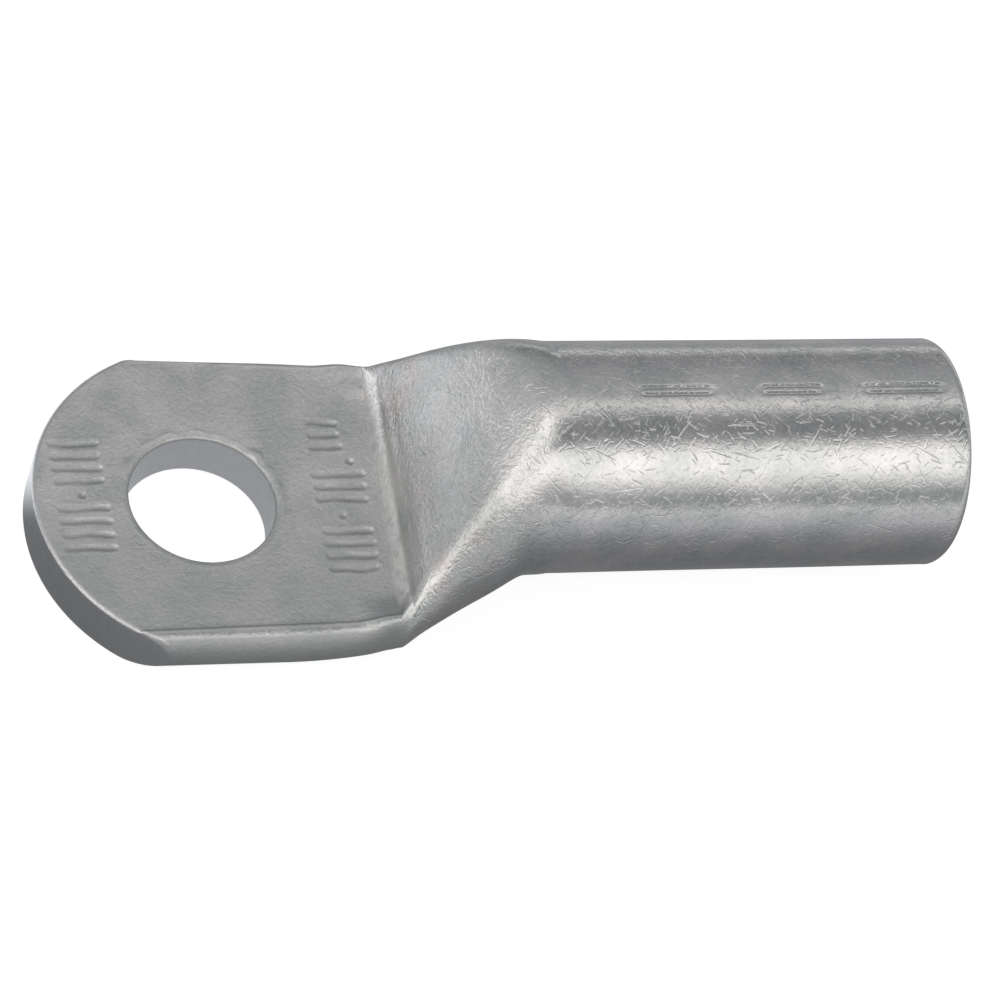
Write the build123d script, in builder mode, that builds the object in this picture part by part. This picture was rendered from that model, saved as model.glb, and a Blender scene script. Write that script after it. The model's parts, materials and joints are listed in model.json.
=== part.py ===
from build123d import *
import math
import os

# Compression lug: one length of round copper tube, flattened at one end into a palm.
# Origin: bolt hole centre on the seating face. +X runs along the barrel to its mouth.

# Barrel, the round tube that takes the conductor
barrel_diameter = 16.5
bore_diameter = 11.5
hole_to_mouth = 53.7
mouth_rounding = 0.9
bore_chamfer = 0.4

# Palm, the pressed flat end
palm_thickness = 3.8
palm_width = 24.5
neck_width = 23.2
hole_to_tip = 12.1
tip_radius = 13.2
tip_edge_bevel = 0.2
crop_margin = 1.0

# Rim left along both sides of the palm by the coining punch
rim_height = 0.12
rim_inset = 1.65

# Bolt hole
bolt_hole_diameter = 10.5
bolt_hole_bevel = 0.25

# Places along the lug: the palm narrows, the crease, and the first round section
hole_to_taper = 5.0
hole_to_crease = 13.4
crease_run = 0.7
hole_to_shoulder = 24.0

# Corners of the shoulder at the crease, measured in from the side
facet_inset = 2.4
base_inset = 2.1

# Curve of the taper, as a power of the share of the way gone
taper_power = 1.6

# How fast the flattening dies out, as powers of the share of the way still to go
crown_power = 2.0
width_power = 1.7
facet_power = 1.3

# Upper corners of the shoulder at the crease, as a share of the fullness of a round corner
crease_corner_fullness = 0.6

# Half of the arc of the round section that the crown and the base each take, in degrees
crown_angle = 15.0

# Where the closing cavity ends, as a share of the shoulder
cavity_end_share = 0.04

# Crimp position marks along the top of the barrel: distance from the hole, and length
crimp_marks = [(27.4, 6.7), (38.2, 4.9), (45.8, 6.2)]
mark_width = 0.8
mark_depth = 0.15
mark_offset = 0.3

# Sizes that follow
barrel_radius = barrel_diameter / 2
bore_radius = bore_diameter / 2
wall = barrel_radius - bore_radius
side_height = palm_thickness + rim_height
side_radius = side_height / 2
shoulder_start = hole_to_crease + crease_run
shoulder_length = hole_to_shoulder - shoulder_start
crown_sine = math.sin(math.radians(crown_angle))
crown_sagitta = 1 - math.cos(math.radians(crown_angle))


def section_plane(x):
    """Plane across the barrel axis: local x is +Y and local y is +Z."""
    return Plane(origin=(x, 0, 0), x_dir=(0, 1, 0), z_dir=(1, 0, 0))


def between(neck_value, barrel_value, share, power=1.0):
    """Value part of the way from the neck to the barrel."""
    return barrel_value + (neck_value - barrel_value) * (1 - share) ** power


def flat_or_arc(half, middle, end):
    """Crown or base between -half and half, straight where its middle and ends are level."""
    if middle == end:
        Line((-half, end), (half, end))
    else:
        ThreePointArc((-half, end), (0, middle), (half, end))
    return 2 * math.atan2(abs(middle - end), half)


def flank(start, lean, end, fullness=1.0):
    """Quarter curve that leaves start at the lean angle and comes upright into end."""
    turn = math.pi / 2 - lean
    hold = fullness * 4 / 3 * math.tan(turn / 4) / math.tan(turn / 2)
    reach = abs(end[0] - start[0]) * math.tan(lean)
    corner = (end[0], start[1] + math.copysign(reach, end[1] - start[1]))
    near_start = tuple(s + hold * (c - s) for s, c in zip(start, corner))
    near_end = tuple(e + hold * (c - e) for e, c in zip(end, corner))
    Bezier(start, near_start, near_end, end)


def tube_section(x, half_width, widest_height, crown, base, upper_fullness=1.0):
    """Section of flattened tube; crown and base are each (half width, middle height, end height)."""
    with BuildLine(section_plane(x)) as outline:
        for (half, middle, end), fullness in ((crown, upper_fullness), (base, 1.0)):
            lean = flat_or_arc(half, middle, end)
            for side in (-1, 1):
                flank((side * half, end), lean, (side * half_width, widest_height), fullness)
    return Face(outline.wire())


def palm_section(x, half_width):
    """Flat bar with fully rounded sides."""
    flat_half = half_width - side_radius
    return tube_section(
        x, half_width, side_radius, (flat_half, side_height, side_height), (flat_half, 0, 0)
    )


def shoulder_section(share, inset=0):
    """
    Section of the shoulder, drawn in from the outer skin by the inset. At the neck it is widest
    at the seam, one wall above the seat.
    """
    radius = barrel_radius - inset
    rise = radius * crown_sagitta * share**2
    neck_half = neck_width / 2
    shrink = 1 - inset / neck_half
    facet_half = (neck_half - facet_inset) * shrink
    seat_half = (neck_half - base_inset) * shrink
    crown_half = between(facet_half, radius * crown_sine, share, facet_power)
    base_half = between(seat_half, radius * crown_sine, share, width_power)
    crown_height = between(2 * wall, barrel_diameter, share, crown_power) - inset
    return tube_section(
        shoulder_start + share * shoulder_length,
        between(neck_half, barrel_radius, share, width_power) - inset,
        between(wall, barrel_radius, share),
        (crown_half, crown_height, crown_height - rise),
        (base_half, inset, inset + rise),
        between(crease_corner_fullness, 1, share),
    )


def round_section(x, radius):
    """Circle about the barrel axis, in the same six stretches as the flattened sections."""
    quarter = 90 - crown_angle
    stretches = [
        (quarter, 2 * crown_angle),
        (90 + crown_angle, quarter),
        (180, quarter),
        (180 + quarter, 2 * crown_angle),
        (270 + crown_angle, quarter),
        (0, quarter),
    ]
    arcs = [CenterArc((0, barrel_radius), radius, start, sweep) for start, sweep in stretches]
    return section_plane(x) * Face(Wire(arcs))


def arcs_of_radius(builder, radius):
    """Round edges of the part with this radius."""
    arcs = builder.edges().filter_by(GeomType.CIRCLE)
    return arcs.filter_by(lambda arc: math.isclose(arc.radius, radius, abs_tol=0.001))


# Sections of the palm from the start of the taper to the crease, and of the shoulder after it
taper_length = hole_to_crease - hole_to_taper
taper_depth = (palm_width - neck_width) / 2
taper_shares = [0, 0.3, 0.65, 1]
taper_stations = [
    (hole_to_taper + share * taper_length, palm_width / 2 - taper_depth * share**taper_power)
    for share in taper_shares
]
outer_shares = [0, 0.12, 0.3, 0.5, 0.7, 0.86]
inner_shares = [cavity_end_share, 0.15, 0.3, 0.5, 0.7, 0.86]

with BuildPart() as lug:
    # Palm, straight at first and then slightly narrower towards the neck
    straight_length = hole_to_tip + crop_margin + hole_to_taper
    extrude(palm_section(hole_to_taper, palm_width / 2), straight_length, dir=(-1, 0, 0))
    loft([palm_section(x, half_width) for x, half_width in taper_stations])

    # Step from the coined palm up to the doubled wall
    loft([palm_section(hole_to_crease, neck_width / 2), shoulder_section(0)], ruled=True)

    # Shoulder, where the tube opens from the doubled wall to full round
    outer_skin = [shoulder_section(share) for share in outer_shares]
    loft(outer_skin + [round_section(hole_to_shoulder, barrel_radius)])

    # Barrel
    with BuildSketch(section_plane(hole_to_shoulder)):
        with Locations((0, barrel_radius)):
            Circle(barrel_radius)
    extrude(amount=hole_to_mouth - hole_to_shoulder)

    # Bore, and the cavity that closes towards the crease between the two walls
    with BuildSketch(section_plane(hole_to_shoulder)):
        with Locations((0, barrel_radius)):
            Circle(bore_radius)
    extrude(amount=hole_to_mouth - hole_to_shoulder, mode=Mode.SUBTRACT)
    inner_skin = [shoulder_section(share, wall) for share in inner_shares]
    loft(inner_skin + [round_section(hole_to_shoulder, bore_radius)], mode=Mode.SUBTRACT)

    # Mouth, rounded outside and chamfered inside
    mouth_edges = lug.edges().filter_by(GeomType.CIRCLE).group_by(Axis.X)[-1].sort_by(SortBy.RADIUS)
    fillet(mouth_edges[-1], mouth_rounding)
    chamfer(mouth_edges[0], bore_chamfer)

    # Tip, cropped to an arc
    with BuildSketch():
        with Locations((-hole_to_tip - crop_margin, 0)):
            Rectangle(
                tip_radius + crop_margin, palm_width + crop_margin, align=(Align.MIN, Align.CENTER)
            )
        with Locations((tip_radius - hole_to_tip, 0)):
            Circle(tip_radius, mode=Mode.SUBTRACT)
    extrude(amount=side_height, mode=Mode.SUBTRACT)

    # Coined face, sunk between the rims and open at the tip
    with BuildSketch(Plane.XY.offset(palm_thickness)):
        with BuildLine():
            Polyline(
                (-hole_to_tip, palm_width / 2 - rim_inset),
                (hole_to_taper, palm_width / 2 - rim_inset),
                (hole_to_crease, neck_width / 2 - rim_inset),
                (hole_to_crease, 0),
                (-hole_to_tip, 0),
                close=True,
            )
        make_face()
        mirror(about=Plane.XZ)
    extrude(amount=rim_height, mode=Mode.SUBTRACT)

    # Bolt hole, its upper edge drawn in by the punch
    with Locations((0, 0, palm_thickness)):
        Hole(bolt_hole_diameter / 2)
    chamfer(arcs_of_radius(lug, bolt_hole_diameter / 2).sort_by(Axis.Z)[-1], bolt_hole_bevel)

    # Tip edge of the coined face, rubbed off; the edge below stays as cropped
    chamfer(arcs_of_radius(lug, tip_radius).sort_by(Axis.Z)[-1], tip_edge_bevel)

    # Crimp position marks, straight grooves just off the top line of the barrel
    with BuildSketch(Plane.XY.offset(barrel_diameter - mark_depth)):
        for start, length in crimp_marks:
            with Locations((start + length / 2, mark_offset)):
                SlotOverall(length, mark_width)
    extrude(amount=mark_depth, mode=Mode.SUBTRACT)

lug.part.label = "lug"
os.makedirs("parts", exist_ok=True)
export_step(lug.part, "parts/lug.step")
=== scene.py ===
import json
import math

import bmesh
import bpy
import numpy as np
from mathutils import Matrix, Vector
from mathutils.geometry import delaunay_2d_cdt


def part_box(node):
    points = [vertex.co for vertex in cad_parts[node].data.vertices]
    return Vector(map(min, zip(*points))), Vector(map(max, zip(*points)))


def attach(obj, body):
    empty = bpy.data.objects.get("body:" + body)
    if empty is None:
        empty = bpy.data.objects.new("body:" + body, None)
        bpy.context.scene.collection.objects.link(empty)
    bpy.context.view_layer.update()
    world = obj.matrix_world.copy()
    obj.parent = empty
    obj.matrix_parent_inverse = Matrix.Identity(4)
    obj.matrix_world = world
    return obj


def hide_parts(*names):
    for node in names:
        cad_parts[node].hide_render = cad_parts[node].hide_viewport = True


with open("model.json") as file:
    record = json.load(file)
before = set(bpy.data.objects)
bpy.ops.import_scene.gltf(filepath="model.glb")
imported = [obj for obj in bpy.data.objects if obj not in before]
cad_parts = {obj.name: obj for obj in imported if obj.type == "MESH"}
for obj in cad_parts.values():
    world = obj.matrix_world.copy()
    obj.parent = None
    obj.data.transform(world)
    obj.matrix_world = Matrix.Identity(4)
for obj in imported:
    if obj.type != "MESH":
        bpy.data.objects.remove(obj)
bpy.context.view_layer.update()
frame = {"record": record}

# Sizes are in millimetres, in the frame of the model. The mesh is scaled once, when it is made.
MM = 0.001

# Sizes read from the frame
lug_low, lug_high = (Vector(corner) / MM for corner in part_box("lug"))
mounts = {mount["name"]: mount for mount in frame["record"]["mounts"]}
barrel_diameter = lug_high.z
palm_width = 2 * lug_high.y
hole_to_mouth = lug_high.x
hole_to_tip = -lug_low.x
hole_radius = mounts["bolt_hole"]["dims"]["r_mm"]
bore_radius = mounts["barrel_bore"]["dims"]["r_mm"]

# Palm; the corners of its tip lie about tip_to_corner behind the middle of the tip
palm_thickness = 3.8
neck_width = 23.2
tip_radius = 13.2
tip_rounding = 0.3
tip_to_corner = 8.0
hole_to_taper = 5.0
taper_power = 1.6
side_middle = 1.96

# Rim along both sides of the palm, above the coined face: where its foot lies off the middle
# line beside the hole, how much nearer it comes with each millimetre towards the crease, and height
near_rim, far_rim = (10.68, 0.018, 0.12), (11.6, 0.06, 0.02)
rim_riser = 0.24

# Shoulder
hole_to_crease = 13.4
crease_run = 0.7
hole_to_shoulder = 24.0
facet_inset = 2.4
base_inset = 2.1
crown_power = 2.0
width_power = 1.7
facet_power = 1.3
crease_corner_fullness = 0.9
near_crown_fall = 0.5
crown_angle = math.radians(15)
cavity_end_share = 0.04

# Two soft folds that the press left across the foot of the ramp: distance past the crease, depth
crease_folds = [(0.6, 0.04), (1.15, 0.03)]
fold_half_width = 0.2

# The press left the crease nearer the hole and a little askew, drew up the corners beside it and
# drew in its ends
crease_shift = -0.85
crease_skew = 0.04
skew_pivot = -10.0
skew_start, skew_end = 6.0, 22.0
corner_lift = 0.5
lift_start, lift_full, lift_end = 9.6, 12.4, 16.5
lift_inner, lift_outer, lift_low = 8.4, 11.0, 1.2
neck_pinch = 0.016
neck_pinch_reach = 1.4

# It also drew in the near side of the shoulder, just before the barrel
near_draw = 0.3
near_draw_x = 21.8
near_draw_reach = 1.4

# Barrel, very slightly out of true: about how far it is drawn in, and where that starts and is full
barrel_dent = 0.02
dent_start, dent_full = 22.0, 28.0

# Mouth of the barrel
mouth_rounding = 0.9
bore_chamfer = 0.4

# Crimp position marks: distance from the hole and length
crimp_marks = [(29.0, 5.3), (38.1, 4.5), (45.9, 5.9)]
mark_half_width = 0.3
mark_depth = 0.12
mark_offset = -0.2
mark_edge = 0.13

# Upper edge of the bolt hole: distance out from its wall, and height over the coined face
hole_edge = [
    (0, -0.3),
    (0.015, -0.2),
    (0.05, -0.12),
    (0.11, -0.06),
    (0.19, -0.025),
    (0.28, -0.005),
    (0.37, 0.012),
    (0.46, 0.024),
    (0.56, 0.018),
    (0.68, 0.006),
    (0.85, 0),
    (1.1, 0),
]

# Heights of the long and the short waves of the coined face
face_waves, face_ripples = 0.010, 0.005

# Plain pressed bars on the palm: x, first y, pitch, number and length of each group
bar_groups = [
    (8.6, -6.1, 1.05, 4, 3.6),
    (8.6, -0.2, 1.05, 3, 3.6),
    (8.8, 4.3, 1.05, 3, 2.0),
    (-10.2, -3.9, 1.1, 4, 3.2),
    (-10.2, 1.7, 1.05, 4, 3.1),
]
dots = [(10.2, -1.6), (11.4, 3.0), (-8.6, 0.6)]
bar_half_width = 0.27
bar_depth = 0.16

# How far the edges of the bars stray, and the lip of metal raised beside them
bar_stray = 0.07
lip_height = 0.012
lip_half_width = 0.13

# Sizes that follow
barrel_radius = barrel_diameter / 2
wall = barrel_radius - bore_radius
shoulder_start = hole_to_crease + crease_run
shoulder_length = hole_to_shoulder - shoulder_start
crown_sine = math.sin(crown_angle)
crown_sagitta = 1 - math.cos(crown_angle)
tip_centre = tip_radius - hole_to_tip

# Steps in each stretch of half a section, along the tip and the sides and round the hole
CROWN_STEPS = 28
FLANK_STEPS = 24
RISER_STEPS = 4
BASE_STEPS = 8
TIP_STEPS = 100
SIDE_STEPS = 90
HOLE_STEPS = 200

# Rows of faces down the tip and the hole, and along the tube; those at the foot of the ramp,
# up to a share of the shoulder, are closer
TIP_EDGE_ROWS = 5
TIP_WALL_ROWS = 8
HOLE_ROWS = 6
CREASE_ROWS = 14
FOOT_ROWS = 16
foot_share = 0.08
SHOULDER_ROWS = 61
BARREL_ROWS = 117
MOUTH_ROWS = 9
MOUTH_END_ROWS = 3
BORE_ROWS = 23
CAVITY_ROWS = 23

# Numbers of the two materials of the mesh
FORMED, CUT = 0, 1

# Colours of the tin: dark and light, worn thin over the copper, darkened as painted shade, lightened
# as a painted highlight, and cut
DARK_TIN = (0.505, 0.53, 0.51, 1)
LIGHT_TIN = (0.74, 0.715, 0.705, 1)
WORN_TIN = (0.65, 0.575, 0.555, 1)
PAINTED_SHADE_TIN = (0.42, 0.44, 0.43, 1)
PAINTED_HIGHLIGHT_TIN = (0.88, 0.875, 0.85, 1)
DARK_CUT = (0.52, 0.53, 0.52, 1)
LIGHT_CUT = (0.62, 0.62, 0.63, 1)

# Colours of the studio: its dim and its bright light, the sheet of painted shade, and the floor with
# its own glow
DIM_LIGHT = (0.94, 0.98, 1.06, 1)
BRIGHT_LIGHT = (1.02, 1.0, 0.99, 1)
SHADE_SHEET_LIGHT = (0.98, 1.0, 1.05, 1)
FLOOR_PAINT = (0.3, 0.3, 0.3, 1)
floor_glow = 0.86

# Bands of light in the studio: strength, lowest and highest turn and softness in degrees, and
# the x of the direction where it starts and where it is full
light_bands = [
    (0.62, 11, 22, 5, -0.75, -0.4),
    (-0.17, -18, 3, 5, -0.35, -0.05),
    (1.0, -30, 16, 9, -0.2, -0.52),
    (0.9, -98, -45, 10, -0.6, -0.8),
    (0.18, 40, 100, 8, -0.15, -0.6),
]
key_strength = 0.95

# Sheet of painted shade on the floor under the object: the middle and half the length of its
# darkest line, its half sizes and its height
shade_sheet_middle, shade_sheet_half_line = 20.0, 35.0
shade_sheet_half_x, shade_sheet_half_y, shade_sheet_height = 220, 185, -0.15

# Floor: half its size and how far it lies below the object
floor_half_size = 2500
floor_drop = 0.3


# Sections, as in the solid

def between(neck_value, barrel_value, share, power=1.0):
    """Value part of the way from the neck to the barrel."""
    return barrel_value + (neck_value - barrel_value) * (1 - share) ** power


def smooth(low, high, value):
    """0 below low, 1 above high, and an even ease between."""
    t = np.clip((value - low) / (high - low), 0, 1)
    return t * t * (3 - 2 * t)


def wobble(seed, *places):
    """Smooth, repeatable unevenness between about -1 and 1, from a few sines."""
    random = np.random.default_rng(seed)
    total = 0
    for _ in range(6):
        phase = random.uniform(0, 2 * math.pi)
        turn = sum(random.uniform(-1, 1) * place for place in places)
        total = total + np.sin(turn + phase)
    return total / 3


def flat_or_arc(half, middle, end, steps):
    """Points from the middle of a crown or base out to its corner."""
    across = np.linspace(0, half, steps + 1)
    drop = middle - end
    if abs(drop) < 1e-9:
        return np.column_stack([across, np.full(steps + 1, end)])
    radius = (half**2 + drop**2) / (2 * abs(drop))
    fall = radius - np.sqrt(radius**2 - across**2)
    return np.column_stack([across, middle - math.copysign(1, drop) * fall])


def flank(start, lean, end, steps, fullness=1.0):
    """Quarter curve that leaves start at the lean angle and comes upright into end."""
    turn = math.pi / 2 - lean
    hold = fullness * 4 / 3 * math.tan(turn / 4) / math.tan(turn / 2)
    start, end = np.array(start, float), np.array(end, float)
    reach = abs(end[0] - start[0]) * math.tan(lean)
    corner = np.array([end[0], start[1] + math.copysign(reach, end[1] - start[1])])
    near_start = start + hold * (corner - start)
    near_end = end + hold * (corner - end)
    t = np.linspace(0, 1, steps + 1)[:, None]
    first, second = (1 - t) ** 3 * start, 3 * (1 - t) ** 2 * t * near_start
    return first + second + 3 * (1 - t) * t**2 * near_end + t**3 * end


def half_section(half_width, widest, crown, base, upper_fullness=1.0):
    """Half of a tube section, from the middle of the crown round to the middle of the base."""
    top = flat_or_arc(*crown, CROWN_STEPS)
    bottom = flat_or_arc(*base, BASE_STEPS)
    top_lean = 2 * math.atan2(abs(crown[1] - crown[2]), crown[0])
    bottom_lean = 2 * math.atan2(abs(base[1] - base[2]), base[0])
    upper = flank(top[-1], top_lean, (half_width, widest), FLANK_STEPS, upper_fullness)
    lower = flank(bottom[-1], bottom_lean, (half_width, widest), FLANK_STEPS)
    return np.vstack([top, upper[1:], lower[::-1][1:], bottom[::-1][1:]])


def shoulder_half(share, inset=0.0, crown_fall=0.0):
    """
    Half section of the shoulder, drawn in from the outer skin by the inset. Between the neck and
    the barrel the crown falls away towards its corner by the fall given.
    """
    radius = barrel_radius - inset
    fall = crown_fall * smooth(0, 0.15, share) * (1 - smooth(0.6, 1, share))
    rise = radius * crown_sagitta * share**2 + fall
    neck_half = neck_width / 2
    shrink = 1 - inset / neck_half
    facet_half = (neck_half - facet_inset) * shrink
    seat_half = (neck_half - base_inset) * shrink
    crown_half = between(facet_half, radius * crown_sine, share, facet_power)
    base_half = between(seat_half, radius * crown_sine, share, width_power)
    crown_height = between(2 * wall, barrel_diameter, share, crown_power) - inset
    return half_section(
        between(neck_half, barrel_radius, share, width_power) - inset,
        between(wall, barrel_radius, share),
        (crown_half, crown_height, crown_height - rise),
        (base_half, inset, inset + rise),
        between(crease_corner_fullness, 1, share),
    )


def palm_side(x, rim):
    """Side of the palm at x, from the foot of the rim, over it and round to the seat."""
    half_width = palm_half_width(x)
    foot = np.array([rim[0] - rim[1] * x, palm_thickness])
    crest = foot + [rim_riser, rim[2]]
    widest = (half_width, side_middle)
    climb = np.linspace(0, 1, RISER_STEPS + 1)[:, None]
    riser = foot + np.hstack([climb, climb**2 * (3 - 2 * climb)]) * (crest - foot)
    over = flank(crest, 0, widest, FLANK_STEPS - RISER_STEPS)
    under = flank((half_width - side_middle, 0), 0, widest, FLANK_STEPS)
    return np.vstack([riser, over[1:], under[::-1][1:]])


def palm_half(rim):
    """Half section of the palm at the crease, in the same stretches as those of the shoulder."""
    side = palm_side(hole_to_crease, rim)
    top = flat_or_arc(side[0, 0], palm_thickness, palm_thickness, CROWN_STEPS)
    bottom = flat_or_arc(side[-1, 0], 0, 0, BASE_STEPS)
    return np.vstack([top, side[1:], bottom[::-1][1:]])


def palm_half_width(x):
    """Half width of the palm, straight at first and then narrower towards the neck."""
    share = np.clip((x - hole_to_taper) / (hole_to_crease - hole_to_taper), 0, 1)
    return palm_width / 2 - (palm_width - neck_width) / 2 * share**taper_power


def tip_x(y, inset=0.0):
    """Where the cropped tip lies at y, drawn in by the inset."""
    return tip_centre - np.sqrt((tip_radius - inset) ** 2 - np.asarray(y) ** 2)


def ring(x, far_half, near_half=None):
    """Closed ring of points at x from its half sections, starting at the middle of the crown."""
    near_half = far_half if near_half is None else near_half
    around = np.vstack([far_half, near_half[::-1][1:-1] * [-1, 1]])
    return np.column_stack([np.full(len(around), x), around])


def circle_half(radius):
    """Half of a circle about the barrel axis, in the stretches of a half section."""
    height = barrel_radius
    crown = (radius * crown_sine, height + radius, height + radius * math.cos(crown_angle))
    base = (radius * crown_sine, height - radius, height - radius * math.cos(crown_angle))
    return half_section(radius, height, crown, base)


class Skin:
    """Patches of points and faces, which meet where their border points share a place."""

    def __init__(self):
        self.points = []
        self.faces = []
        self.kinds = []
        self.count = 0

    def add(self, points, faces, kind):
        self.points.append(points)
        self.faces += [tuple(int(i) + self.count for i in face) for face in faces]
        self.kinds += [kind] * len(faces)
        self.count += len(points)

    def grid(self, rows, kind, closed=False):
        """Quads between rows of equal length. A closed grid joins the ends of each row."""
        rows = np.asarray(rows)
        tall, wide = rows.shape[:2]
        number = np.arange(tall * wide).reshape(tall, wide)
        if closed:
            number = np.hstack([number, number[:, :1]])
        corners = [number[:-1, :-1], number[:-1, 1:], number[1:, 1:], number[1:, :-1]]
        faces = np.stack(corners, axis=-1).reshape(-1, 4)
        self.add(rows.reshape(-1, 3), faces, kind)

    def mesh(self, name):
        """One mesh with the patches joined, sharp where its faces meet at a clear angle."""
        merge_distance = 0.001
        sharp_angle = math.radians(42)
        mesh = bpy.data.meshes.new(name)
        points = lug_warp(np.vstack(self.points))
        mesh.from_pydata((points * MM).tolist(), [], self.faces)
        shape = bmesh.new()
        shape.from_mesh(mesh)
        for face, kind in zip(shape.faces, self.kinds):
            face.material_index = kind
            face.smooth = True
        bmesh.ops.remove_doubles(shape, verts=shape.verts, dist=merge_distance * MM)
        bmesh.ops.recalc_face_normals(shape, faces=shape.faces)
        for edge in shape.edges:
            if len(edge.link_faces) != 2:
                raise ValueError(f"{name} is open at {edge.verts[0].co / MM}")
            edge.smooth = edge.calc_face_angle() < sharp_angle
        shape.to_mesh(mesh)
        shape.free()
        return mesh


def lug_warp(points):
    """The unevenness that the press left, from the palm to the shoulder."""
    x, y, z = points.T.copy()
    near_crease = smooth(skew_start, hole_to_crease, x) * (1 - smooth(shoulder_start, skew_end, x))
    corner = smooth(lift_start, lift_full, x) * (1 - smooth(hole_to_crease, lift_end, x))
    outer = smooth(lift_inner, lift_outer, np.abs(y)) * smooth(lift_low, palm_thickness, z)
    moved_x = x + (crease_shift + crease_skew * (y - skew_pivot)) * near_crease
    pinched = neck_pinch * np.exp(-(((x - hole_to_crease) / neck_pinch_reach) ** 2))
    drawn = near_draw * np.exp(-(((x - near_draw_x) / near_draw_reach) ** 2)) * smooth(4, 8, -y)
    moved_y = y * (1 - pinched) + drawn
    moved_z = z + corner_lift * corner * outer
    return np.column_stack([moved_x, moved_y, moved_z])


# Palm

def bars():
    """Ends of every pressed bar; a dot is a bar of next to no length."""
    ends = []
    for x, first_y, pitch, number, length in bar_groups:
        ends += [((x, first_y + pitch * i), (x + length, first_y + pitch * i)) for i in range(number)]
    ends += [((x, y), (x + 0.01, y)) for x, y in dots]
    return np.array(ends)


def bar_distance(points):
    """Distance from each point to the nearest pressed bar, and the share along it."""
    best = np.full(len(points), np.inf)
    along = np.zeros(len(points))
    for start, end in bars():
        run = end - start
        share = np.clip((points - start) @ run / (run @ run), 0, 1)
        distance = np.hypot(*(points - start - share[:, None] * run).T)
        along = np.where(distance < best, share, along)
        best = np.minimum(best, distance)
    return best, along


def winding(points, outline):
    """How far the outline turns round each point: a whole turn for a point inside."""
    total = np.zeros(len(points))
    for start, end in zip(outline, np.roll(outline, -1, axis=0)):
        a, b = start - points, end - points
        total += np.arctan2(a[:, 0] * b[:, 1] - a[:, 1] * b[:, 0], (a * b).sum(1))
    return np.abs(total)


def border_distance(points, outline):
    """Distance from each point to the outline."""
    best = np.full(len(points), np.inf)
    for start, end in zip(outline, np.roll(outline, -1, axis=0)):
        run = end - start
        share = np.clip((points - start) @ run / (run @ run), 0, 1)
        best = np.minimum(best, np.hypot(*(points - start - share[:, None] * run).T))
    return best


def lattice(low, high, step):
    """Evenly spread points, every other column half a step aside."""
    x, y = np.meshgrid(np.arange(low[0], high[0], step), np.arange(low[1], high[1], step))
    y = y + step / 2 * (np.arange(x.shape[1]) % 2)
    return np.column_stack([x.ravel(), y.ravel()])


def holed_patch(outline, hole, points):
    """Triangles between an outline and a round hole, through the points given."""
    border = np.vstack([outline, hole])
    n, m = len(outline), len(hole)
    edges = [(i, (i + 1) % n) for i in range(n)] + [(n + i, n + (i + 1) % m) for i in range(m)]
    every = np.vstack([border, points])
    found = delaunay_2d_cdt([Vector(point) for point in every], edges, [], 0, 1e-7)
    corners = np.array([tuple(corner) for corner in found[0]])
    faces = np.array([tuple(face) for face in found[2]])
    middles = corners[faces].mean(1)
    kept = (winding(middles, outline) > math.pi) & (winding(middles, hole) < math.pi)
    return corners, faces[kept]


def face_height(points, from_border):
    """Height of the coined face above or below its level."""
    x, y = points.T
    strayed = np.column_stack([wobble(7, 1.9 * x, 1.9 * y), wobble(8, 2.3 * x, 2.3 * y)])
    distance, along = bar_distance(points + bar_stray * strayed)
    groove = 1 - smooth(0, 1.5 * bar_half_width, distance)
    lip = np.exp(-(((distance - 1.6 * bar_half_width) / lip_half_width) ** 2))
    depth = bar_depth * (0.5 + 0.5 * along) * (1 + 0.35 * wobble(9, 3 * x, 3 * y))
    waves = face_waves * wobble(5, 0.9 * x, 0.9 * y)
    ripples = face_ripples * wobble(6, 2.4 * x, 2.4 * y)
    return -depth * groove + lip_height * lip + (waves + ripples) * smooth(0, 1.0, from_border)


def hole_rim():
    """Rings round the top of the bolt hole: its drawn-in edge and the broken burr round it."""
    turn = np.linspace(0, 2 * math.pi, HOLE_STEPS, endpoint=False)
    ragged = wobble(11, 7 * np.cos(turn), 7 * np.sin(turn))
    fine = wobble(12, 23 * np.cos(turn), 23 * np.sin(turn))
    far_side = smooth(-0.3, 0.7, np.sin(turn))
    rings = []
    for step, (reach, rise) in enumerate(hole_edge):
        burr = smooth(2, 5, step) * (1 - smooth(8, 11, step))
        radius = hole_radius + reach + burr * far_side * (0.05 + 0.06 * fine)
        height = palm_thickness + rise + burr * (0.025 * ragged + 0.05 * fine * far_side)
        rings.append(np.column_stack([radius * np.cos(turn), radius * np.sin(turn), height]))
    return rings


def tip_profile(rim):
    """End of a side at the tip: its points over the rim and round to the seat."""
    profile = palm_side(-hole_to_tip + tip_to_corner, rim)
    x = tip_x(profile[:, 0])
    return np.array([palm_side(place, rim)[index] for index, place in enumerate(x)])


def palm_edge(rim):
    """Rows of a side of the palm, from the tip to the crease, each from rim to seat."""
    profile = tip_profile(rim)
    start = tip_x(profile[:, 0], tip_edge_insets(profile))
    rows = [np.column_stack([start, profile])]
    for share in np.linspace(0, 1, SIDE_STEPS + 1)[1:]:
        x = start + (hole_to_crease - start) * share
        row = [palm_side(place, rim)[index] for index, place in enumerate(x)]
        rows.append(np.column_stack([x, row]))
    return np.array(rows)


def tip_edge_insets(profile):
    """How far the rounding of the tip edge draws in each point of a side."""
    upper = np.arange(len(profile)) <= FLANK_STEPS
    thickness = profile[:, 1] - profile[::-1, 1]
    return np.where(upper, np.minimum(tip_rounding, 0.3 * np.abs(thickness)), 0)


def across_tip(near, far, height):
    """Line across the tip through the ends of both sides, near side first."""
    y = np.linspace(-near[0, 0], far[0, 0], TIP_STEPS + 1)[1:-1]
    middle = np.column_stack([y, np.full(len(y), height)])
    return np.vstack([near[::-1] * [-1, 1], middle, far])


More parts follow.
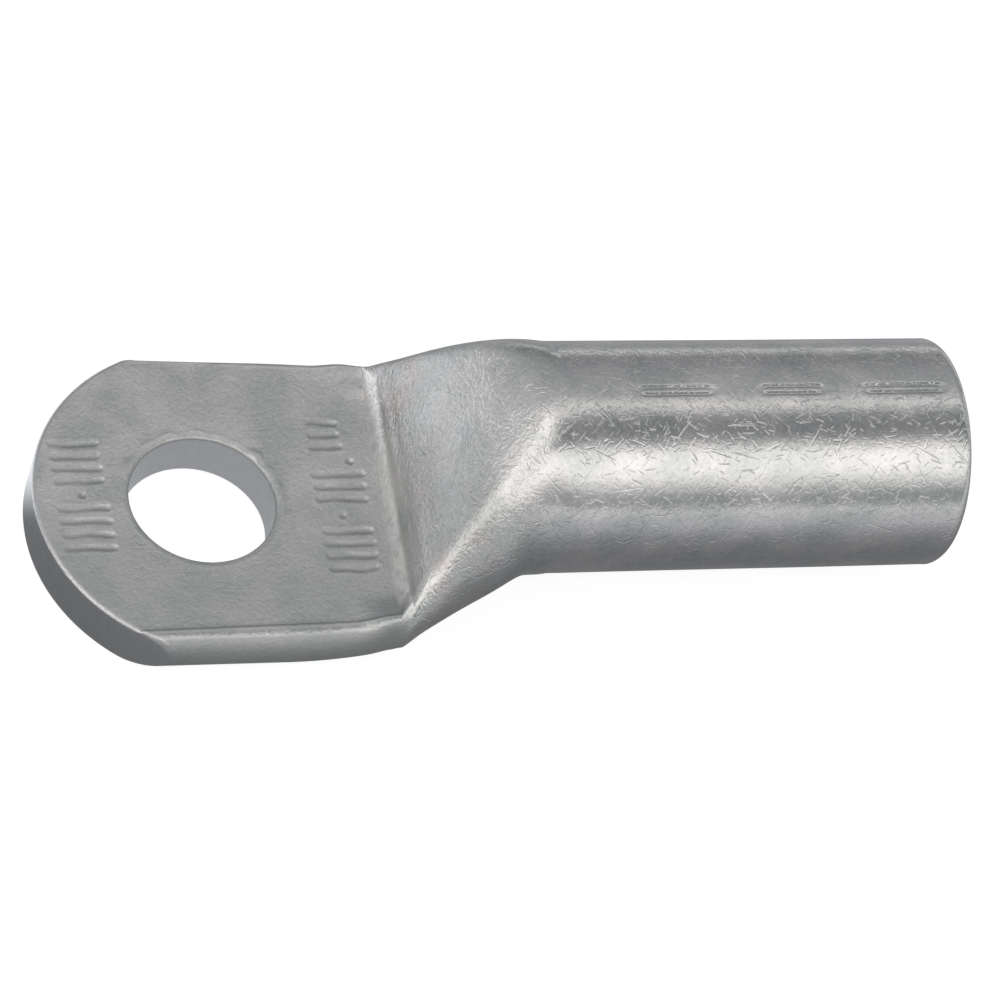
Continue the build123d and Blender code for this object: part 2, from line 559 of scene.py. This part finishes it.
def tip_wall():
    """Rows of the cropped tip from its rounded upper edge down, across the whole palm."""
    near, far = tip_profile(near_rim), tip_profile(far_rim)
    count = FLANK_STEPS + 1
    top = across_tip(near[:count], far[:count], palm_thickness)
    bottom = across_tip(near[::-1][:count], far[::-1][:count], 0)
    near_insets, far_insets = tip_edge_insets(near)[:count], tip_edge_insets(far)[:count]
    middle = np.full(TIP_STEPS - 1, tip_rounding)
    radius = np.concatenate([near_insets[::-1], middle, far_insets])
    rows = []
    for turn in np.linspace(0, math.pi / 2, TIP_EDGE_ROWS + 1):
        y, z = top.T
        x = tip_x(y, radius * (1 - math.sin(turn)))
        rows.append(np.column_stack([x, y, z - radius * (1 - math.cos(turn))]))
    edge = rows[-1]
    for share in np.linspace(0, 1, TIP_WALL_ROWS + 1)[1:]:
        y = edge[:, 1] + (bottom[:, 0] - edge[:, 1]) * share
        z = edge[:, 2] + (bottom[:, 1] - edge[:, 2]) * share
        rows.append(np.column_stack([tip_x(y), y, z]))
    return np.array(rows)


def face_outline(near_line, far_line, near_crease, far_crease, tip_inset):
    """Outline of a flat face of the palm: its tip, near side, crease and far side."""
    across = np.linspace(far_line[0, 1], -near_line[0, 1], TIP_STEPS + 1)
    tip = np.column_stack([tip_x(across, tip_inset), across])
    crease_y = np.concatenate([-near_crease[:0:-1], far_crease])
    crease = np.column_stack([np.full(len(crease_y), hole_to_crease), crease_y])
    return np.vstack([tip, near_line[1:-1] * [1, -1], crease, far_line[::-1][1:-1]])


def add_palm(skin):
    """The coined face, the seat, both sides, the tip and the bolt hole."""
    near, far = palm_edge(near_rim), palm_edge(far_rim)
    near_half, far_half = palm_half(near_rim), palm_half(far_rim)
    skin.grid(near * [1, -1, 1], FORMED)
    skin.grid(far, FORMED)
    skin.grid(tip_wall(), CUT)

    rim = hole_rim()
    floor_ring = rim[0] * [1, 1, 0]
    depths = np.linspace(1, 0, HOLE_ROWS + 1)
    wall_rows = [floor_ring + depth * (rim[0] - floor_ring) for depth in depths]
    skin.grid(rim, FORMED, closed=True)
    skin.grid(wall_rows, CUT, closed=True)

    crowns = [half[: CROWN_STEPS + 1, 0] for half in (near_half, far_half)]
    bases = [half[::-1][: BASE_STEPS + 1, 0] for half in (near_half, far_half)]
    top = face_outline(near[:, 0, :2], far[:, 0, :2], *crowns, tip_rounding)
    seat = face_outline(near[:, -1, :2], far[:, -1, :2], *bases, 0)
    add_coined_face(skin, top, rim[-1][:, :2])
    add_seat(skin, seat, floor_ring[:, :2])


def add_coined_face(skin, outline, hole):
    """The coined face with its pressed bars, on a lattice that is finer round them."""
    spacing, fine_spacing, reach = 0.32, 0.1, 0.6
    low, high = outline.min(0), outline.max(0)
    coarse, fine = lattice(low, high, spacing), lattice(low, high, fine_spacing)
    far_from_bars = bar_distance(coarse)[0] > reach + 0.4 * fine_spacing
    near_bars = bar_distance(fine)[0] < reach
    points = np.vstack([coarse[far_from_bars], fine[near_bars]])
    hole_reach = np.hypot(*hole[0])
    points = points[np.hypot(*points.T) > hole_reach + 0.3 * spacing]
    points = points[border_distance(points, outline) > 0.4 * spacing]
    points = points[winding(points, outline) > math.pi]
    corners, faces = holed_patch(outline, hole, points)
    from_hole = np.hypot(*corners.T) - hole_reach
    from_border = np.minimum(border_distance(corners, outline), np.maximum(from_hole, 0))
    height = palm_thickness + face_height(corners, from_border)
    height[: len(outline) + len(hole)] = palm_thickness
    skin.add(np.column_stack([corners, height]), faces, FORMED)


def add_seat(skin, outline, hole):
    """The flat seating face."""
    spacing = 1.2
    points = lattice(outline.min(0), outline.max(0), spacing)
    points = points[np.hypot(*points.T) > hole_radius + 0.4 * spacing]
    points = points[border_distance(points, outline) > 0.4 * spacing]
    points = points[winding(points, outline) > math.pi]
    corners, faces = holed_patch(outline, hole, points)
    skin.add(np.column_stack([corners, np.zeros(len(corners))]), faces, FORMED)


# Shoulder and barrel

def fold_depth(x):
    """Depth of the folds at the foot of the ramp."""
    depth = 0
    for place, deep in crease_folds:
        away = (x - hole_to_crease - place) / fold_half_width
        depth = depth + deep * np.exp(-(away**2))
    return depth


def press_folds(rows):
    """Draws the crown in along the folds, least at its corners."""
    x, y, z = rows.T
    crown = 1 - smooth(8.2, 10.4, np.abs(y))
    on_top = smooth(3.0, 3.8, z)
    uneven = 1 + 0.35 * wobble(21, 0.8 * y)
    depth = fold_depth(x) * crown * on_top * uneven
    rows[..., 0] = (x + 0.75 * depth).T
    rows[..., 2] = (z - 0.5 * depth).T


def press_marks(rows):
    """Sinks the crimp position marks into the top of the barrel."""
    x, y, z = rows.T
    depth = 0
    for start, length in crimp_marks:
        inner_start, inner_end = start + mark_half_width, start + length - mark_half_width
        past = x - np.clip(x, inner_start, inner_end)
        distance = np.hypot(past, y - mark_offset)
        border = np.exp(-(((distance - mark_half_width) / mark_edge) ** 2))
        inside = 1 - smooth(0, mark_half_width, distance)
        depth = depth + mark_depth * (border + 0.3 * inside)
    rows[..., 2] = (z - depth * (z > barrel_radius)).T


def dent_barrel(rows):
    """Leaves the barrel very slightly out of true."""
    x, y, z = rows.T
    turn = np.arctan2(y, z - barrel_radius)
    uneven = 1 + 0.5 * wobble(31, 0.35 * x, 2 * np.cos(turn), 2 * np.sin(turn))
    draw = barrel_dent / barrel_radius * uneven * smooth(dent_start, dent_full, x)
    rows[..., 1] = (y * (1 - draw)).T
    rows[..., 2] = (barrel_radius + (z - barrel_radius) * (1 - draw)).T


def outer_rows():
    """Rings of the outer skin from the crease to the start of the mouth rounding."""
    near_palm, far_palm, neck = palm_half(near_rim), palm_half(far_rim), shoulder_half(0)
    rows = []
    for share in np.linspace(0, 1, CREASE_ROWS + 1)[:-1]:
        far_half = far_palm + (neck - far_palm) * share
        near_half = near_palm + (neck - near_palm) * share
        rows.append(ring(hole_to_crease + share * crease_run, far_half, near_half))
    foot = np.linspace(0, foot_share, FOOT_ROWS + 1)[:-1]
    for share in np.concatenate([foot, np.linspace(foot_share, 1, SHOULDER_ROWS + 1)]):
        near_half = shoulder_half(share, crown_fall=near_crown_fall)
        x = shoulder_start + share * shoulder_length
        rows.append(ring(x, shoulder_half(share), near_half))
    straight_end = hole_to_mouth - mouth_rounding
    for x in np.linspace(hole_to_shoulder, straight_end, BARREL_ROWS + 1)[1:]:
        rows.append(ring(x, circle_half(barrel_radius)))
    return np.array(rows)


def mouth_rows():
    """Rings over the rounded mouth, across its end and into the bore."""
    rows = []
    for turn in np.linspace(0, math.pi / 2, MOUTH_ROWS + 1)[1:]:
        x = hole_to_mouth - mouth_rounding * (1 - math.sin(turn))
        radius = barrel_radius - mouth_rounding * (1 - math.cos(turn))
        rows.append(ring(x, circle_half(radius)))
    outer, inner = barrel_radius - mouth_rounding, bore_radius + bore_chamfer
    for radius in np.linspace(outer, inner, MOUTH_END_ROWS + 1)[1:]:
        rows.append(ring(hole_to_mouth, circle_half(radius)))
    return rows


def inner_rows():
    """Rings of the bore and of the cavity that closes towards the crease."""
    rows = []
    for x in np.linspace(hole_to_mouth - bore_chamfer, hole_to_shoulder, BORE_ROWS + 1):
        rows.append(ring(x, circle_half(bore_radius)))
    for share in np.linspace(1, cavity_end_share, CAVITY_ROWS + 1)[1:]:
        x = shoulder_start + share * shoulder_length
        rows.append(ring(x, shoulder_half(share, wall)))
    return rows


def add_tube(skin):
    """The shoulder, the barrel, its mouth and the bore."""
    outside = outer_rows()
    press_folds(outside)
    press_marks(outside)
    dent_barrel(outside)
    mouth = np.array([outside[-1], *mouth_rows()])
    inside = np.array([mouth[-1], *inner_rows()])
    skin.grid(outside, FORMED, closed=True)
    skin.grid(mouth, FORMED, closed=True)
    skin.grid(inside, CUT, closed=True)
    cavity_end = inside[-1]
    skin.add(cavity_end, [range(len(cavity_end))], CUT)


# Materials

class Graph:
    """A node tree, with short calls for the nodes used here."""

    def __init__(self, owner):
        owner.use_nodes = True
        self.tree = owner.node_tree
        self.tree.nodes.clear()

    def put(self, socket, value):
        if isinstance(value, bpy.types.NodeSocket):
            self.tree.links.new(value, socket)
        else:
            socket.default_value = value

    def node(self, kind, inputs=None, **settings):
        made = self.tree.nodes.new("ShaderNode" + kind)
        for name, value in settings.items():
            setattr(made, name, value)
        for name, value in (inputs or {}).items():
            self.put(made.inputs[name], value)
        return made

    def math(self, operation, *values):
        made = self.node("Math", operation=operation)
        for socket, value in zip(made.inputs, values):
            self.put(socket, value)
        return made.outputs[0]

    def vector(self, operation, *values):
        made = self.node("VectorMath", operation=operation)
        for socket, value in zip(made.inputs, values):
            self.put(socket, value)
        scalar = operation in {"DOT_PRODUCT", "LENGTH"}
        return made.outputs["Value" if scalar else "Vector"]

    def ease(self, value, low, high, start=0.0, end=1.0):
        """A smooth step of value, from start at low to end at high."""
        inputs = {"Value": value, "From Min": low, "From Max": high, "To Min": start, "To Max": end}
        return self.node("MapRange", inputs, interpolation_type="SMOOTHSTEP").outputs["Result"]

    def band(self, value, low, high, soft):
        """1 between low and high, with soft ends."""
        rise = self.ease(value, low - soft, low + soft)
        fall = self.ease(value, high - soft, high + soft, 1.0, 0.0)
        return self.times(rise, fall)

    def noise(self, place, size, detail=2.0, rough=0.5):
        """Noise between 0 and 1 with features of about the size given."""
        inputs = {"Vector": place, "Scale": 1 / size, "Detail": detail, "Roughness": rough}
        return self.node("TexNoise", inputs).outputs["Fac"]

    def chain(self, operation, *values):
        """The result of an operation on the values, one after another."""
        result = values[0]
        for value in values[1:]:
            result = self.math(operation, result, value)
        return result

    def total(self, *values):
        return self.chain("ADD", *values)

    def times(self, *values):
        return self.chain("MULTIPLY", *values)

    def split(self, vector):
        """The x, y and z of a vector."""
        parts = self.node("SeparateXYZ", {"Vector": vector}).outputs
        return parts["X"], parts["Y"], parts["Z"]

    def blend(self, share, first, second):
        """Colour part of the way from the first to the second."""
        mixed = self.node("Mix", {0: share}, data_type="RGBA")
        self.put(mixed.inputs[6], first)
        self.put(mixed.inputs[7], second)
        return mixed.outputs[2]

    def ticks(self, place, cell, length, width):
        """Short straight scratches: in each cell, a thin slab through the cell's own point."""
        found = self.node("TexVoronoi", {"Vector": place, "Scale": 1 / cell})
        away = self.vector("SUBTRACT", place, found.outputs["Position"])
        aim = self.vector("SUBTRACT", found.outputs["Color"], (0.5, 0.5, 0.5))
        aim = self.vector("NORMALIZE", aim)
        beside = self.math("ABSOLUTE", self.vector("DOT_PRODUCT", away, aim))
        thin = self.ease(beside, 0.1 * width, 0.5 * width, 1.0, 0.0)
        short = self.ease(self.vector("LENGTH", away), 0.3 * length, 0.5 * length, 1.0, 0.0)
        return self.times(thin, short)


def position_in_mm(graph):
    """Place on the object in millimetres."""
    place = graph.node("TexCoord").outputs["Object"]
    scaled = graph.node("VectorMath", {0: place}, operation="SCALE")
    scaled.inputs["Scale"].default_value = 1 / MM
    return scaled.outputs["Vector"]


def finish_metal(graph, color, roughness, height):
    """Ends a material of bare metal with its colour, its roughness and its relief in mm."""
    bump = graph.node("Bump", {"Height": height, "Distance": MM, "Strength": 1.0})
    inputs = {
        "Base Color": color,
        "Metallic": 1.0,
        "Roughness": roughness,
        "Normal": bump.outputs["Normal"],
    }
    shader = graph.node("BsdfPrincipled", inputs)
    graph.node("OutputMaterial", {"Surface": shader.outputs["BSDF"]})


def scratches(graph, place):
    """Handling scratches of three sizes, from fine short ones to a few long ones."""
    fine = graph.ticks(place, 0.55, 0.7, 0.09)
    middling = graph.ticks(place, 0.9, 1.2, 0.12)
    long = graph.ticks(place, 2.2, 2.6, 0.14)
    patches = graph.ease(graph.noise(place, 2.4), 0.38, 0.6, 0.4, 1.0)
    return graph.times(graph.total(fine, middling, long), patches)


def crease_share(graph, place):
    """1 on the step of the crease, between its corners."""
    x, y, _ = graph.split(place)
    square_x = graph.math("SUBTRACT", x, graph.times(y, crease_skew))
    step_x = hole_to_crease + crease_shift - crease_skew * skew_pivot
    step = graph.band(square_x, step_x, step_x + crease_run, 0.12)
    return graph.times(step, graph.band(y, -9.4, 10.6, 0.7))


def worn_share(graph, place):
    """Patches low on the ramp where the tin is worn thin."""
    x, _, _ = graph.split(place)
    patches = graph.ease(graph.noise(place, 2.6, 3.0, 0.6), 0.42, 0.66)
    return graph.times(patches, graph.band(x, 14.2, 18.0, 1.0), 0.7)


def painted_shade_share(graph, place, palm, side):
    """How much painted shade darkens the tin: on the sides and the near half of the palm and low on
    the ramp.
    """
    x, y, _ = graph.split(place)
    low_ramp = graph.times(graph.band(x, 14.6, 18.2, 1.0), graph.ease(y, 9, -5, 0.15, 0.6))
    low_ramp = graph.times(low_ramp, graph.ease(y, -9.4, -7.4))
    near_palm = graph.times(palm, graph.ease(y, 4, -8, 0.0, 0.5))
    return graph.chain("MAXIMUM", graph.times(side, 0.75), near_palm, low_ramp)


def formed_metal():
    """Dull tin plating on the pressed tube, brighter on the barrel and matt and mottled on the palm;
    painted shade and a painted highlight are mixed into its colour.
    """
    material = bpy.data.materials.new("tinned_metal_formed")
    graph = Graph(material)
    place = position_in_mm(graph)
    x, _, z = graph.split(place)
    palm = graph.ease(x, 12.4, 13.6, 1.0, 0.0)
    side = graph.times(palm, graph.ease(z, 3.6, 3.85, 1.0, 0.0))
    ramp = graph.band(x, 14.0, 21.0, 1.4)

    cloud = graph.noise(place, 4.0, 3.0)
    mottle = graph.noise(place, 0.8, 3.0, 0.6)
    speckle = graph.noise(place, 0.32, 3.0, 0.65)
    rough = graph.total(
        graph.times(mottle, 0.1),
        graph.times(palm, 0.15),
        graph.times(ramp, 0.09),
        graph.times(side, 0.25),
        0.15,
    )
    cloudy = graph.times(graph.ease(cloud, 0.35, 0.65), 0.6)
    speckled = graph.times(graph.ease(speckle, 0.3, 0.7), 0.4)
    color = graph.blend(graph.total(cloudy, speckled), DARK_TIN, LIGHT_TIN)
    color = wear_and_painted_light(graph, place, color, palm, side, mottle)
    height = formed_relief(graph, place, palm, ramp, cloud, mottle, speckle)
    finish_metal(graph, color, rough, height)
    return material


def wear_and_painted_light(graph, place, color, palm, side, mottle):
    """The colour of the tin where wear changed it, darkened by painted shade and lightened by a
    painted highlight on the step of the crease.
    """
    # Painted highlight on the step of the crease, broken up by the mottle
    crease_highlight = graph.times(crease_share(graph, place), graph.ease(mottle, 0.3, 0.6, 0.4, 1.0))
    color = graph.blend(worn_share(graph, place), color, WORN_TIN)
    # Painted shade on the sides and the near half of the palm and low on the ramp
    color = graph.blend(painted_shade_share(graph, place, palm, side), color, PAINTED_SHADE_TIN)
    return graph.blend(crease_highlight, color, PAINTED_HIGHLIGHT_TIN)


def formed_relief(graph, place, palm, ramp, cloud, mottle, speckle):
    """Relief of the tin in mm: broad clouds, mottle and speckle, fine grain, fibre and scratches."""
    mottled = graph.total(palm, graph.times(ramp, 1.8), 0.4)
    grain = graph.noise(place, 0.16, 2.0, 0.6)
    across = graph.vector("MULTIPLY", place, (1.0, 0.2, 0.2))
    fibre = graph.noise(across, 0.14, 2.0, 0.6)
    ticks = graph.times(scratches(graph, place), graph.ease(palm, 0, 1, 1.0, 0.5))
    return graph.total(
        graph.times(cloud, 0.06),
        graph.times(mottle, mottled, 0.02),
        graph.times(speckle, mottled, 0.032),
        graph.times(grain, 0.0025),
        graph.times(fibre, 0.005),
        graph.times(ticks, -0.014),
    )


def cut_metal():
    """Plating over the sheared tip, the punched hole and the bore: rougher and darker."""
    material = bpy.data.materials.new("tinned_metal_cut")
    graph = Graph(material)
    place = position_in_mm(graph)
    streaks = graph.vector("MULTIPLY", place, (1.0, 1.0, 0.25))
    shear = graph.noise(streaks, 0.35, 3.0, 0.6)
    grain = graph.noise(place, 0.15, 2.0)
    rough = graph.total(0.3, graph.times(grain, 0.15))
    height = graph.total(
        graph.times(shear, 0.03),
        graph.times(grain, 0.006),
        graph.times(scratches(graph, place), -0.01),
    )
    finish_metal(graph, graph.blend(shear, DARK_CUT, LIGHT_CUT), rough, height)
    return material


def make_lug():
    """The lug as one closed mesh, which is shown in place of the solid."""
    skin = Skin()
    add_palm(skin)
    add_tube(skin)
    mesh = skin.mesh("lug_body")
    mesh.materials.append(formed_metal())
    mesh.materials.append(cut_metal())
    lug = bpy.data.objects.new("lug_body", mesh)
    bpy.context.collection.objects.link(lug)
    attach(lug, "root")
    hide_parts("lug")


# Studio

def make_plane(name, middle_x, half_x, half_y, height):
    """A level rectangle about a middle on the x axis, at a height."""
    signs = [(-1, -1), (1, -1), (1, 1), (-1, 1)]
    corners = [(middle_x + a * half_x, b * half_y, height) for a, b in signs]
    mesh = bpy.data.meshes.new(name)
    mesh.from_pydata((np.array(corners) * MM).tolist(), [], [(0, 1, 2, 3)])
    plane = bpy.data.objects.new(name, mesh)
    bpy.context.collection.objects.link(plane)
    return plane


def make_floor():
    """A white floor that takes the object's shadow softly."""
    material = bpy.data.materials.new("floor_white")
    graph = Graph(material)
    rays = graph.node("LightPath").outputs
    seen = graph.total(rays["Is Camera Ray"], rays["Is Glossy Ray"], rays["Is Transmission Ray"])
    shine = graph.times(graph.math("MINIMUM", seen, 1.0), floor_glow)
    glow = graph.node("Emission", {"Strength": shine})
    paint = graph.node("BsdfDiffuse", {"Color": FLOOR_PAINT})
    both = graph.node("AddShader", {0: glow.outputs[0], 1: paint.outputs[0]})
    graph.node("OutputMaterial", {"Surface": both.outputs[0]})
    floor = make_plane("floor", 0, floor_half_size, floor_half_size, -floor_drop)
    floor.data.materials.append(material)


def shade_sheet_distance(graph, place):
    """Distance in mm from the darkest line of the sheet of painted shade, which lies under the
    object.
    """
    x, y, _ = graph.split(place)
    past = graph.math("ABSOLUTE", graph.math("SUBTRACT", x, shade_sheet_middle))
    past = graph.math("MAXIMUM", graph.math("SUBTRACT", past, shade_sheet_half_line), 0.0)
    return graph.vector("LENGTH", graph.node("CombineXYZ", {"X": past, "Y": y}).outputs["Vector"])


def shade_sheet_level(graph, place, away):
    """Brightness of the sheet of painted shade: lighter away from the object, behind the tip and in
    the hole.
    """
    x, y, _ = graph.split(place)
    behind_tip = graph.times(graph.ease(x, -2, -10), graph.ease(y, 1, 6))
    in_hole = graph.ease(graph.vector("LENGTH", place), hole_radius, 1.4 * hole_radius, 1.0, 0.0)
    return graph.total(
        graph.ease(away, 8, 45, 0.21, 0.6),
        graph.ease(y, 25, 50, 0.0, -0.24),
        graph.times(behind_tip, 1.1),
        graph.times(in_hole, 0.3),
    )


def make_shade_sheet():
    """A dark glowing sheet on the floor, seen only in reflections: painted shade of the floor round
    the object, in the metal's reflections.
    """
    material = bpy.data.materials.new("flag_grey")
    graph = Graph(material)
    place = position_in_mm(graph)
    away = shade_sheet_distance(graph, place)
    level = shade_sheet_level(graph, place, away)
    dark = graph.node("Emission", {"Color": SHADE_SHEET_LIGHT, "Strength": level})
    clear = graph.node("BsdfTransparent")
    cover = graph.ease(away, 110, 180, 1.0, 0.0)
    both = graph.node("MixShader", {0: cover, 1: clear.outputs[0], 2: dark.outputs[0]})
    graph.node("OutputMaterial", {"Surface": both.outputs[0]})
    flag = make_plane("flag", shade_sheet_middle, shade_sheet_half_x, shade_sheet_half_y, shade_sheet_height)
    flag.data.materials.append(material)
    for ray in ("camera", "diffuse", "transmission", "volume_scatter", "shadow"):
        setattr(flag, f"visible_{ray}", False)


def studio_level(graph, x, turn):
    """
    Brightness of the studio in the direction with this x, low towards the tip, and this turn about
    the length of the barrel, in degrees from straight up and below 0 on the camera's side.
    """
    bands = [
        graph.times(graph.band(turn, low, high, soft), graph.ease(x, start, full), strength)
        for strength, low, high, soft, start, full in light_bands
    ]
    to_left = graph.ease(x, -0.2, -0.52)
    raised = graph.math("SUBTRACT", turn, graph.times(to_left, 24.0))
    key = graph.times(graph.ease(raised, -80, -50), graph.ease(turn, -35, -20, 1.0, 0.0))
    streak = graph.times(graph.band(x, -0.6, -0.28, 0.1), graph.band(turn, -88, -56, 6))
    front = graph.times(graph.band(turn, -110, -93, 5), graph.ease(x, 0, -0.6, 0.04, 0.4))
    return graph.total(
        graph.times(key, key_strength),
        *bands,
        graph.times(streak, -0.16),
        graph.times(graph.band(turn, 28, 40, 3), 0.06),
        front,
        graph.ease(turn, -68, -84, 0.0, -0.07),
        graph.ease(turn, 40, 85, 0.45, 0.28),
    )


def make_world():
    """Studio light by direction, cool where it is dim and neutral where it is bright."""
    world = bpy.data.worlds.new("studio")
    bpy.context.scene.world = world
    graph = Graph(world)
    x, y, z = graph.split(graph.node("TexCoord").outputs["Generated"])
    turn = graph.math("DEGREES", graph.math("ARCTAN2", y, z))
    level = studio_level(graph, x, turn)
    tint = graph.blend(graph.math("MINIMUM", level, 1.0), DIM_LIGHT, BRIGHT_LIGHT)
    glow = graph.node("Background", {"Color": tint, "Strength": level})
    graph.node("OutputWorld", {"Surface": glow.outputs[0]})


def make_camera():
    """The camera of the photograph: its place in mm and its axes, fitted to the object."""
    place = Vector((-82.765, -183.976, 272.473))
    right = Vector((0.95186898, -0.18777092, 0.2422551))
    up = Vector((0.01761471, 0.82258447, 0.56837005))
    back = Vector((-0.30599865, -0.53674656, 0.78630017))
    camera = bpy.data.cameras.new("camera")
    camera.sensor_width = 36.0
    camera.lens = 172.07
    camera.clip_start = 0.01
    holder = bpy.data.objects.new("camera", camera)
    turn = Matrix((right, up, back)).transposed()
    holder.matrix_world = Matrix.Translation(place * MM) @ turn.to_4x4()
    bpy.context.collection.objects.link(holder)
    bpy.context.scene.camera = holder


bpy.context.scene.view_settings.view_transform = "Standard"
make_camera()
make_lug()
make_floor()
make_shade_sheet()
make_world()
